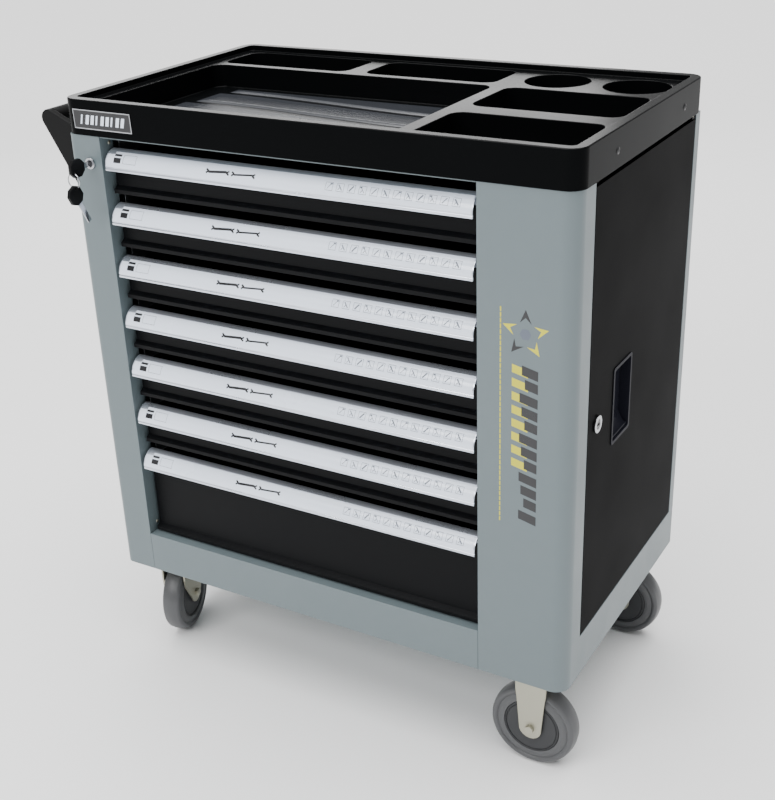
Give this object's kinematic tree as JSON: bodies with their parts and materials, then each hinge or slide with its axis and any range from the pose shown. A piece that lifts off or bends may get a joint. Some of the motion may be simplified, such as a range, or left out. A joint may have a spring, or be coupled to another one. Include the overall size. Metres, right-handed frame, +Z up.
{
  "type": "rolling tool chest",
  "caption": "Wheeled steel tool chest with stacked drawers behind full-width pulls, a side locker door, a moulded top tray, a push handle and swivel and fixed casters.",
  "frame": {"origin": "centre of the whole outline (handle, keys and casters included) at floor level", "axes": "+Z up; the drawers face -Y and slide out along -Y; the push handle is on the -X side and the locker door on the +X side"},
  "size_m": [0.8146, 0.4856, 0.882],
  "materials": {
    "grey_paint": "semi-gloss grey paint",
    "black_paint": "satin black paint",
    "black_abs": "satin black plastic",
    "tray_abs": "gloss black moulded plastic",
    "name_plate": "satin",
    "aluminium": "satin anodised",
    "zinc": "zinc plated",
    "chrome": "polished",
    "wheel": "matte grey rubber",
    "slide_steel": "zinc plated",
    "brake_plastic": "black plastic"
  },
  "bodies": {
    "cabinet": {"left_side_shell": "grey_paint", "right_side_shell": "grey_paint", "front_bottom_rail": "grey_paint", "back_panel": "grey_paint", "base_pan": "grey_paint", "top_deck": "grey_paint", "locker_divider": "grey_paint", "door_jamb_frame": "black_paint", "locker_shelf_lower": "black_paint", "locker_shelf_upper": "black_paint", "top_tray": "tray_abs", "name_plate": "name_plate", "slide_rack_left": "slide_steel", "slide_rack_right": "slide_steel", "push_handle_bracket_front": "black_abs", "push_handle_bracket_rear": "black_abs", "push_handle_grip": "black_abs", "drawer_lock_barrel": "chrome", "door_hinge_pin_upper": "zinc", "door_hinge_pin_lower": "zinc", "caster_right_front_bracket": "zinc", "caster_right_front_axle": "zinc", "caster_left_front_plate": "zinc", "caster_right_rear_bracket": "zinc", "caster_right_rear_axle": "zinc", "caster_left_rear_plate": "zinc"},
    "drawer_1": {"drawer_1_box": "black_paint", "drawer_1_pull": "aluminium"},
    "drawer_2": {"drawer_2_box": "black_paint", "drawer_2_pull": "aluminium"},
    "drawer_3": {"drawer_3_box": "black_paint", "drawer_3_pull": "aluminium"},
    "drawer_4": {"drawer_4_box": "black_paint", "drawer_4_pull": "aluminium"},
    "drawer_5": {"drawer_5_box": "black_paint", "drawer_5_pull": "aluminium"},
    "drawer_6": {"drawer_6_box": "black_paint", "drawer_6_pull": "aluminium"},
    "drawer_7": {"drawer_7_box": "black_paint", "drawer_7_pull": "aluminium"},
    "door": {"side_door": "black_paint", "door_handle_cup": "black_abs", "door_lock_barrel": "chrome"},
    "door_lock": {"door_lock_plug": "chrome"},
    "drawer_lock": {"drawer_lock_plug": "chrome", "drawer_lock_key": "black_abs"},
    "lock_slide": {"lock_bar": "zinc"},
    "hanging_keys": {"key_ring": "zinc", "spare_key": "black_abs"},
    "caster_right_front_roll": {"caster_right_front_wheel": "wheel"},
    "caster_left_front_turning": {"caster_left_front_fork": "zinc", "caster_left_front_axle": "zinc"},
    "caster_left_front_roll": {"caster_left_front_wheel": "wheel"},
    "caster_left_front_pedal": {"caster_left_front_brake": "brake_plastic"},
    "caster_right_rear_roll": {"caster_right_rear_wheel": "wheel"},
    "caster_left_rear_turning": {"caster_left_rear_fork": "zinc", "caster_left_rear_axle": "zinc"},
    "caster_left_rear_roll": {"caster_left_rear_wheel": "wheel"},
    "caster_left_rear_pedal": {"caster_left_rear_brake": "brake_plastic"}
  },
  "joints": [
    {"name": "drawer_1_slide", "type": "slide", "parent": "cabinet", "child": "drawer_1", "axis": [0, -1, 0], "range_m": [0, 0.3]},
    {"name": "drawer_2_slide", "type": "slide", "parent": "cabinet", "child": "drawer_2", "axis": [0, -1, 0], "range_m": [0, 0.3]},
    {"name": "drawer_3_slide", "type": "slide", "parent": "cabinet", "child": "drawer_3", "axis": [0, -1, 0], "range_m": [0, 0.3]},
    {"name": "drawer_4_slide", "type": "slide", "parent": "cabinet", "child": "drawer_4", "axis": [0, -1, 0], "range_m": [0, 0.3]},
    {"name": "drawer_5_slide", "type": "slide", "parent": "cabinet", "child": "drawer_5", "axis": [0, -1, 0], "range_m": [0, 0.3]},
    {"name": "drawer_6_slide", "type": "slide", "parent": "cabinet", "child": "drawer_6", "axis": [0, -1, 0], "range_m": [0, 0.3]},
    {"name": "drawer_7_slide", "type": "slide", "parent": "cabinet", "child": "drawer_7", "axis": [0, -1, 0], "range_m": [0, 0.3]},
    {"name": "side_door_hinge", "type": "hinge", "parent": "cabinet", "child": "door", "pos_m": [0.39867, 0.21683, 0.5], "axis": [0, 0, 1], "range_deg": [0, 105]},
    {"name": "door_lock_turn", "type": "hinge", "parent": "door", "child": "door_lock", "pos_m": [0.40317, -0.10907, 0.518], "axis": [-1, 0, 0], "range_deg": [0, 90]},
    {"name": "drawer_lock_turn", "type": "hinge", "parent": "cabinet", "child": "drawer_lock", "pos_m": [-0.30183, -0.19007, 0.796], "axis": [0, 1, 0], "range_deg": [0, 90]},
    {"name": "lock_bar_slide", "type": "slide", "parent": "cabinet", "child": "lock_slide", "axis": [0, 0, 1], "range_m": [0, 0.008]},
    {"name": "key_ring_swing", "type": "hinge", "parent": "drawer_lock", "child": "hanging_keys", "pos_m": [-0.30183, -0.22647, 0.7905], "axis": [1, 0, 0], "range_deg": [-60, 10]},
    {"name": "caster_right_front_spin", "type": "hinge", "parent": "cabinet", "child": "caster_right_front_roll", "pos_m": [0.34517, -0.14707, 0.0625], "axis": [0, 1, 0], "continuous": true},
    {"name": "caster_left_front_swivel", "type": "hinge", "parent": "cabinet", "child": "caster_left_front_turning", "pos_m": [-0.28883, -0.13807, 0.14], "axis": [0, 0, 1], "continuous": true},
    {"name": "caster_left_front_spin", "type": "hinge", "parent": "caster_left_front_turning", "child": "caster_left_front_roll", "pos_m": [-0.29659, -0.10909, 0.0625], "axis": [0.9659, 0.2588, 0], "continuous": true},
    {"name": "caster_left_front_brake_turn", "type": "hinge", "parent": "caster_left_front_turning", "child": "caster_left_front_pedal", "pos_m": [-0.30488, -0.07818, 0.1245], "axis": [-0.9659, -0.2588, 0], "range_deg": [0, 12]},
    {"name": "caster_right_rear_spin", "type": "hinge", "parent": "cabinet", "child": "caster_right_rear_roll", "pos_m": [0.34517, 0.19893, 0.0625], "axis": [0, 1, 0], "continuous": true},
    {"name": "caster_left_rear_swivel", "type": "hinge", "parent": "cabinet", "child": "caster_left_rear_turning", "pos_m": [-0.28883, 0.18993, 0.14], "axis": [0, 0, 1], "continuous": true},
    {"name": "caster_left_rear_spin", "type": "hinge", "parent": "caster_left_rear_turning", "child": "caster_left_rear_roll", "pos_m": [-0.25899, 0.19307, 0.0625], "axis": [0.1045, -0.9945, 0], "continuous": true},
    {"name": "caster_left_rear_brake_turn", "type": "hinge", "parent": "caster_left_rear_turning", "child": "caster_left_rear_pedal", "pos_m": [-0.22717, 0.19641, 0.1245], "axis": [-0.1045, 0.9945, 0], "range_deg": [0, 12]}
  ],
  "couplings": [
    {"joint": "drawer_lock_turn", "follows": "lock_bar_slide", "rad_per_m": 196.3}
  ]
}
